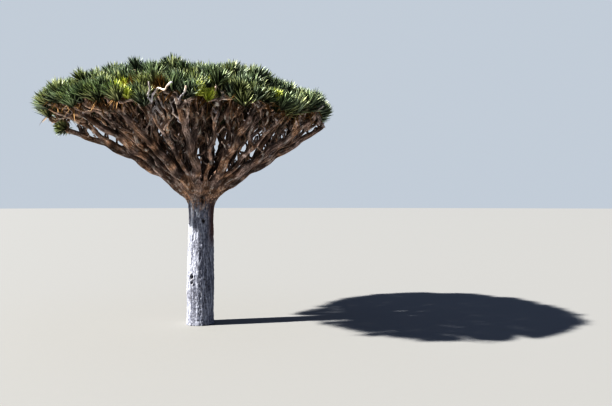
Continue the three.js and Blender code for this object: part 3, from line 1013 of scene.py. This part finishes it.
# %% Add side twigs and dead twigs
TWIGS = [  # number, load as a share of a rosette, way aside and up, pieces, metres each, turning
    (620, 0.8, 0.5, 0.9, (2, 5), (0.12, 0.2), 0.4),  # side twigs
    (1000, 0.2, 0.7, 0.7, (1, 3), (0.07, 0.13), 0.75),  # dead twigs
]
WEB_FROM, WEB_LOAD = 20, 3  # they start past this place of a bough, or at branches so loaded
BLEACHED_UNDER = 0.5  # a branch with a smaller load than this is bleached
CLEAR_OF_LEAVES = 0.2  # metres between the end of a twig and the foot of a rosette
LEAST_RISE = 0.35  # a twig that would rise less than this, for its length, stops


def curl(point, way, load, pieces, step, turning):
    """A twig in a few pieces, which turns at each knot and stays below the leaves."""
    for piece in range(pieces):
        end_way = unit(way + chance.normal(0, turning, 3) + 0.25 * UP)
        end = point + unit(way + end_way) * step
        rise = (end - point)[2] / step
        if rise < LEAST_RISE or np.linalg.norm(bases[~bare] - end, axis=1).min() < CLEAR_OF_LEAVES:
            return
        branches.append((point, way, end, end_way, load * (1 - 0.1 * piece)))
        point, way = end, end_way


hosts = [branch[:2] for branch in branches if branch[4] >= WEB_LOAD]
for name in long_boughs:
    line = limbs[name][0][WEB_FROM:]
    hosts += zip(line, ways_along(line))
leading = len(branches)
for number, load, aside, rise, pieces, step, turning in TWIGS:
    for host in chance.choice(len(hosts), number):
        point, way = hosts[host]
        way = unit(0.6 * way + aside * unit(chance.normal(0, 1, 3)) + rise * UP)
        curl(point, way, load, chance.integers(*pieces), chance.uniform(*step), turning)
print("side twigs and dead twigs, in pieces:", len(branches) - leading)

# %% Add the bare curls at the front
BARE_CURLS = [  # pixels that each of them passes, from the branch that carries it
    [(154, 99), (153, 94), (158, 88), (164, 90), (168, 85), (172, 82)],
    [(179, 98), (182, 95), (185, 91), (186, 86)],
    [(172, 110), (171, 103), (167, 97), (162, 96)],
    [(171, 103), (175, 98), (174, 93)],
    [(151, 100), (148, 95), (150, 88), (149, 82)],
]
CURL_LOAD, CURL_FORWARD = 0.34, 0.08  # and metres that each next place is nearer to the eye
FRONT, BEHIND_COST = -3.8, 6  # each metre behind this y makes a carrier worse by so many pixels

for passed in BARE_CURLS:
    ends = np.array([branch[2] for branch in branches])
    gap = np.linalg.norm(in_picture(ends) - passed[0], axis=1)
    gap += BEHIND_COST * np.maximum(ends[:, 1] - FRONT, 0)
    line = [ends[np.argmin(gap)]]
    depth = line[0][1]
    for step, pixel in enumerate(passed[1:], 1):
        line.append(np.array(at_depth(pixel, depth - CURL_FORWARD * step)))
    line = np.array(line)
    add_line(line, ways_along(line), CURL_LOAD)
    print("a curl starts at", in_picture(line[:1])[0].round(), "at depth", round(depth, 2))

# %% [markdown]
# ## Branches as joined tubes
# A branch of this tree looks like a string of sausages: it swells at each fork and is waisted
# between. More than four thousand of them are too many for the remesh, so each is a short tube
# along a curve, worked out as arrays, with blunt ends that sink into each other at the forks.
# They are joined into as few meshes as they fit in, each with about 190,000 triangles.


# %% Arrays for tubes
RING_GAP = 0.07  # metres between the rings of a branch, about


def triangles_in(faces):
    return sum(len(some) * (some.shape[1] - 2) for some in faces)


def joined(name, points, faces, material, smooth, vectors):
    """A mesh object from arrays of points and of faces with the same number of corners."""
    mesh = bpy.data.meshes.new(name)
    listed = [corners for some in faces for corners in some.tolist()]
    mesh.from_pydata(points, [], listed, shade_flat=not smooth)
    for key, values in vectors.items():
        stored = mesh.attributes.new(key, "FLOAT_VECTOR", "POINT")
        stored.data.foreach_set("vector", np.asarray(values, np.float32).ravel())
    mesh.validate()
    mesh.materials.append(material)
    print(name, "has", triangles_in(faces), "triangles")
    return placed(name, mesh)


def tube_arrays(branch, number):
    """Points, faces and grain of one branch."""
    start, way, end, end_way, carried = branch
    length = np.linalg.norm(end - start)
    rings = int(np.clip(round(length / RING_GAP) + 1, 4, 9))
    sides = 8 if carried > 2 else 7
    s = np.linspace(0, 1, rings)
    bends = chance.normal(0, 0.12 * length, (2, 3))
    line = curve(start, way, end, end_way, s[:, None], bends)
    line[0] -= way * 0.4 * thickness(carried)
    waist = 1 + 0.17 * np.cos(2 * math.pi * s) + 0.07 * np.sin(9 * s + number)
    radius = thickness(carried) * waist * (1.08 - 0.12 * s)
    if carried == 1:
        radius = radius * (0.92 + 0.3 * bump(s - 0.93, 0.12))
    ways, across, over = frames_along(line)
    ring = np.arange(sides)
    cosine, sine = np.cos(2 * math.pi * ring / sides), np.sin(2 * math.pi * ring / sides)
    rough = 1 + 0.07 * chance.standard_normal((rings, sides))
    off = across[:, None] * cosine[None, :, None] + over[:, None] * sine[None, :, None]
    off = off * (radius[:, None] * rough)[..., None]
    body = (line[:, None] + off).reshape(-1, 3)
    ends = np.array([line[0] - ways[0] * radius[0] * 0.5, line[-1] + ways[-1] * radius[-1] * 0.5])
    after = (ring + 1) % sides
    rows = sides * np.arange(rings - 1)[:, None]
    quads = np.stack([rows + ring, rows + after, rows + sides + after, rows + sides + ring], -1)
    last = sides * (rings - 1)
    caps = np.vstack([
        np.column_stack([after, ring, np.full(sides, len(body))]),
        np.column_stack([last + ring, last + after, np.full(sides, len(body) + 1)]),
    ])
    grain = np.column_stack([
        np.tile(cosine, rings) * 0.05 + 1.3 * number,
        np.tile(sine, rings) * 0.05 - 0.7 * number,
        np.repeat(s * length, sides) + 0.9 * number,
    ])
    return np.vstack([body, ends]), quads.reshape(-1, 4), caps, np.vstack([grain, grain[[0, -1]]])


# %% Join the branches
MOST_TRIANGLES = 190_000  # a piece with more is closed, and the next branch starts another


def join_tubes(name, chosen, material):
    """Pieces of joined tubes, each with about the most triangles, the last one with the rest."""
    pieces, rows, start, triangles = [], [], 0, 0
    for number in chosen:
        points, quads, caps, grain = tube_arrays(branches[number], number)
        rows.append((points, quads + start, caps + start, grain))
        start += len(points)
        triangles += triangles_in((quads, caps))
        if triangles > MOST_TRIANGLES or number == chosen[-1]:
            points, quads, caps, grain = map(np.vstack, zip(*rows))
            part = f"{name}_{len(pieces) + 1}"
            pieces.append(joined(part, points, [quads, caps], material, True, {"grain": grain}))
            rows, start, triangles = [], 0, 0
    return pieces


ends = np.array([branch[2] for branch in branches])
loads = np.array([branch[4] for branch in branches])
dead = (loads < BLEACHED_UNDER) | (in_bare_place(ends, -1) & (loads < 2))
twig_pieces = join_tubes("branches_brown", np.flatnonzero(~dead), twig_bark)
twig_pieces += join_tubes("branches_bleached", np.flatnonzero(dead), bleached_bark)
lengths = np.linalg.norm(ends - [branch[0] for branch in branches], axis=1)
wood = (math.pi * thickness(loads) ** 2 * lengths).sum()
print("wood in the branches, in cubic metres:", round(float(wood), 2))

# %% [markdown]
# ## One leaf
# A leaf is a stiff sword, a little under half a metre long and four centimetres wide, folded along
# its middle. It is a small grid: the columns are narrowed to the leaf's outline, the edges are
# raised and the last column is merged into the point. Four faces are enough, as the fold catches
# the light by itself.

# %% Shape the blade
WIDTH, FOLD = 0.038, 0.35  # metres across, and how far the edges rise for each metre aside
BLADE_PLACES, BLADE_WIDTHS = (0, 0.55, 1), (0.75, 1, 0)  # shares of the length and of the width


def leaf_blade():
    blade = bmesh.new()
    bmesh.ops.create_grid(blade, x_segments=len(BLADE_PLACES) - 1, y_segments=2, size=1)
    for v in blade.verts:
        column = round((v.co.x + 1) / 2 * (len(BLADE_PLACES) - 1))
        side = v.co.y * BLADE_WIDTHS[column] / 2
        v.co = (BLADE_PLACES[column], side, FOLD * abs(side))
    bmesh.ops.remove_doubles(blade, verts=blade.verts[:], dist=0.001)
    blade.verts.index_update()
    points = corners_of(blade)
    corners = [[v.index for v in f.verts] for f in blade.faces]
    blade.free()
    return points, [np.array([c for c in corners if len(c) == n]) for n in (4, 3)]


blade_points, blade_faces = leaf_blade()
print("a leaf has", len(blade_points), "corners and", [len(f) for f in blade_faces], "faces")

# %% [markdown]
# ## Rosettes
# In a rosette the young leaves stand upright in the middle and the older ones spread out to the
# sides, each turned from the last by the golden angle. The arrays hold all leaves of a kind at
# once: the blade's corners are laid out along each leaf's own direction, and bent down a little
# towards the point. Old leaves hang dry under some rosettes.

# %% Kinds of leaves
LEAVES, WIDEST = 54, math.radians(45)  # in a rosette, and how far its oldest lean
YELLOW_PLACES = [((121, 77), 8), ((213, 102), 4), ((271, 82), 4), ((204, 64), 2)]  # pixel, rosettes
RUSTY_PLACES = [((163, 78), 1), ((140, 80), 1)]
DRY_PLACES = [((97, 100), 9), ((75, 108), 5), ((170, 84), 4), ((295, 107), 4)]
GREENS = {"olive": 0.42, "blue_green": 0.33, "dark_green": 0.25}  # kinds and their shares
SHADED_SIDE_FROM, SHADED_SIDE_SHARE = 1.5, 0.2  # to the right of this place, in metres, more of them are dark green, as painted shade on the side away from the key light
YELLOW_SHARE, DRY_SHARE = 0.02, 0.3  # of the rosettes at the back, and of all of them


def near_places(places):
    """Which rosettes sit at some places of the picture, where the sight first meets the crown."""
    found = np.zeros(len(bases), bool)
    middles = bases + 0.6 * LEAF * axes
    for pixel, number in places:
        way = sight(*pixel)
        hit = crown_tree.ray_cast(EYE, way)[0]
        if hit is None:
            hit = crown_tree.find_nearest(at_depth(pixel, middle[1] - 3))[0]
        off, way = middles - np.array(hit), np.array(way)
        depth = off @ way
        gap = np.linalg.norm(off - depth[:, None] * way, axis=1) + 0.3 * np.abs(depth)
        found[np.argsort(gap)[:number]] = True
    return found


kinds = chance.choice(list(GREENS), len(bases), p=list(GREENS.values())).astype(object)
# Painted shade: more dark green rosettes on the right, away from the key light.
kinds[(bases[:, 0] > SHADED_SIDE_FROM) & (chance.uniform(size=len(bases)) < SHADED_SIDE_SHARE)] = "dark_green"
fresh = chance.uniform(size=len(bases))
kinds[(fresh < YELLOW_SHARE) & (bases[:, 1] > 0)] = "yellow_green"
kinds[near_places(YELLOW_PLACES)] = "yellow_green"
kinds[near_places(RUSTY_PLACES)] = "rusty"
print({kind: int((kinds == kind).sum()) for kind in sorted(set(kinds))}, "bare:", int(bare.sum()))


# %% Arrays for leaves
ANY_SIDE = (0.3, 0.9, 0.31)  # a direction that hardly any rosette looks in
FIRST_TURN = 6.3  # radians, about a full turn, in which a rosette's first leaf may point
TURN_STRAY, LEAN_STRAY, ROLL_STRAY = 0.12, 0.07, 0.65  # radians
LENGTHS, BENDS = (0.86, 1.08), (0.3, 1.4)  # shares from leaf to leaf
STEM_WIDTH, STEM_LENGTH, STEM_TOP = 0.022, 0.11, 0.05  # metres, of the stem that they sit on


def spray(ids, count, inner, outer, droop, short):
    """The corners of all leaves of some rosettes, and a little about each corner."""
    axis, base, size = (np.repeat(values[ids], count, axis=0) for values in (axes, bases, sizes))
    order = np.tile(np.arange(count), len(ids))
    share, total = (order + 0.5) / count, len(order)
    turn = order * golden + np.repeat(chance.uniform(0, FIRST_TURN, len(ids)), count)
    turn = (turn + chance.normal(0, TURN_STRAY, total))[:, None]
    cosine = math.cos(inner) + share * (math.cos(outer) - math.cos(inner))
    lean = np.arccos(np.clip(cosine, -1, 1)) + chance.normal(0, LEAN_STRAY, total)
    level, steep = np.sin(lean)[:, None], np.cos(lean)[:, None]
    side = unit(np.cross(axis, ANY_SIDE))
    out = side * np.cos(turn) + np.cross(axis, side) * np.sin(turn)
    way, up = axis * steep + out * level, axis * level - out * steep
    roll = chance.normal(0, ROLL_STRAY, total)[:, None]
    across = np.cross(way, up)
    cos_roll, sin_roll = np.cos(roll), np.sin(roll)
    across, up = across * cos_roll + up * sin_roll, up * cos_roll - across * sin_roll
    young = np.clip(1 - share * 4, 0, 1)
    length = LEAF * size * short * (1 - 0.2 * young) * chance.uniform(*LENGTHS, total)
    bend = droop * chance.uniform(*BENDS, total) * np.sin(lean)
    t, s, lift = blade_points.T
    root = base + out * STEM_WIDTH - axis * (STEM_LENGTH * share)[:, None] + axis * STEM_TOP
    points = (
        root[:, None]
        + way[:, None] * (t[None] * length[:, None])[..., None]
        + across[:, None] * (s * WIDTH)[None, :, None]
        + up[:, None] * (lift * WIDTH)[None, :, None]
    )
    points[..., 2] -= (bend[:, None] * t[None] ** 2) * length[:, None]
    about = np.stack(np.broadcast_arrays(t[None], s[None], chance.uniform(size=(total, 1))), -1)
    return points, about


def leaf_pieces(name, ids, material, **shape):
    """Pieces of joined leaves of one kind, each under the limit of triangles."""
    triangles = len(ids) * shape["count"] * triangles_in(blade_faces)
    parts = max(1, math.ceil(triangles / MOST_TRIANGLES))
    pieces = []
    for k, some in enumerate(np.array_split(ids, parts), 1):
        points, about = spray(some, **shape)
        shift = len(blade_points) * np.arange(len(points))[:, None, None]
        faces = [(f[None] + shift).reshape(-1, f.shape[1]) for f in blade_faces]
        part = f"{name}_{k}" if parts > 1 else name
        blade = {"blade": about.reshape(-1, 3)}
        pieces.append(joined(part, points.reshape(-1, 3), faces, material, False, blade))
    return pieces


# %% Paint the leaves
SUNLIT_LEAVES_FROM = -0.6  # to the left of this place, in metres, more of the leaves are painted pale, as painted sunlight on the key light's side
FOOT_SHADE_PAINT, SHEEN = paint("3f3a22"), 0.4


def leaf_paint(name, dark, light, rough):
    """One plain colour with painted shade at the foot, and painted sunlight towards the point, on
    some leaves and at the left.
    """
    material, surface, pen = new_material(name)
    blade = pen.attribute("blade", "Vector")
    along, own = blade.part("X"), blade.part("Z")
    place = pen.node("ShaderNodeTexCoord", output="Object")
    # Painted sunlight: leaves at the left, on the side that the key light comes from, are painted
    # paler.
    sunny = 0.13 * ((SUNLIT_LEAVES_FROM - place.part("X")) * 0.5).clamped()
    # Painted light and shade: some leaves at random and the points are painted lighter, as if
    # sunlit, and the feet darker.
    lit = (own + sunny).past(0.45, 4.2) * (0.15 + 0.85 * along)
    tone = (lit + 0.25 * place.noise((1, 1, 1), 1.7, 2) + 0.3 * along - 0.2).clamped()
    # Painted shade: the foot of each leaf, deep in its rosette, is painted darker.
    foot = (1 - along * 5).clamped()
    colour = (foot * 0.5).mixed(tone.mixed(paint(dark), paint(light)), FOOT_SHADE_PAINT)
    feed(surface, "Base Color", colour)
    surface.inputs["Roughness"].default_value = rough
    surface.inputs["Specular IOR Level"].default_value = SHEEN
    return material


LEAF_PAINTS = {
    "olive": ("31391c", "dbe0b0"),
    "blue_green": ("263224", "c5d1b6"),
    "dark_green": ("202b19", "bac8a2"),
    "yellow_green": ("a3ad40", "fdffa6"),
    "rusty": ("53432a", "b4955c"),
}
leafy = np.arange(len(bases))[~bare]
leaf_parts = []
for kind, (dark, light) in LEAF_PAINTS.items():
    ids = leafy[kinds[leafy] == kind]
    if len(ids):
        material = leaf_paint(f"leaf_{kind}", dark, light, 0.42)
        leaf_parts += leaf_pieces(
            f"leaves_{kind}", ids, material, count=LEAVES, inner=0.05, outer=WIDEST, droop=0.08,
            short=0.66 if kind == "yellow_green" else 1.0,
        )
dry_ids = leafy[(near_places(DRY_PLACES) | (fresh > 1 - DRY_SHARE))[leafy]]
straw = leaf_paint("leaf_dry", "7c5f3e", "ab8c60", 0.7)
leaf_parts += leaf_pieces(
    "leaves_dry", dry_ids, straw,
    count=7, inner=math.radians(85), outer=math.radians(140), droop=0.35, short=0.75,
)
print("pieces of leaves:", len(leaf_parts))

# %% [markdown]
# ## What each piece stands for
# Every piece rides on the one body of the tree, and the solids of the frame that it stands for
# are hidden, so that those aren't shown.

# %% Tell the frame
for piece, nodes, slot in (
    (trunk_piece, ["trunk", *short_boughs], "bark"),
    (bough_piece, [name for name in long_boughs if name not in between], "bough_bark"),
    *((piece, pads, "bough_bark") for piece in twig_pieces),
    *((piece, pads, "foliage") for piece in leaf_parts),
):
    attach(piece, "root")
    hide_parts(*nodes)
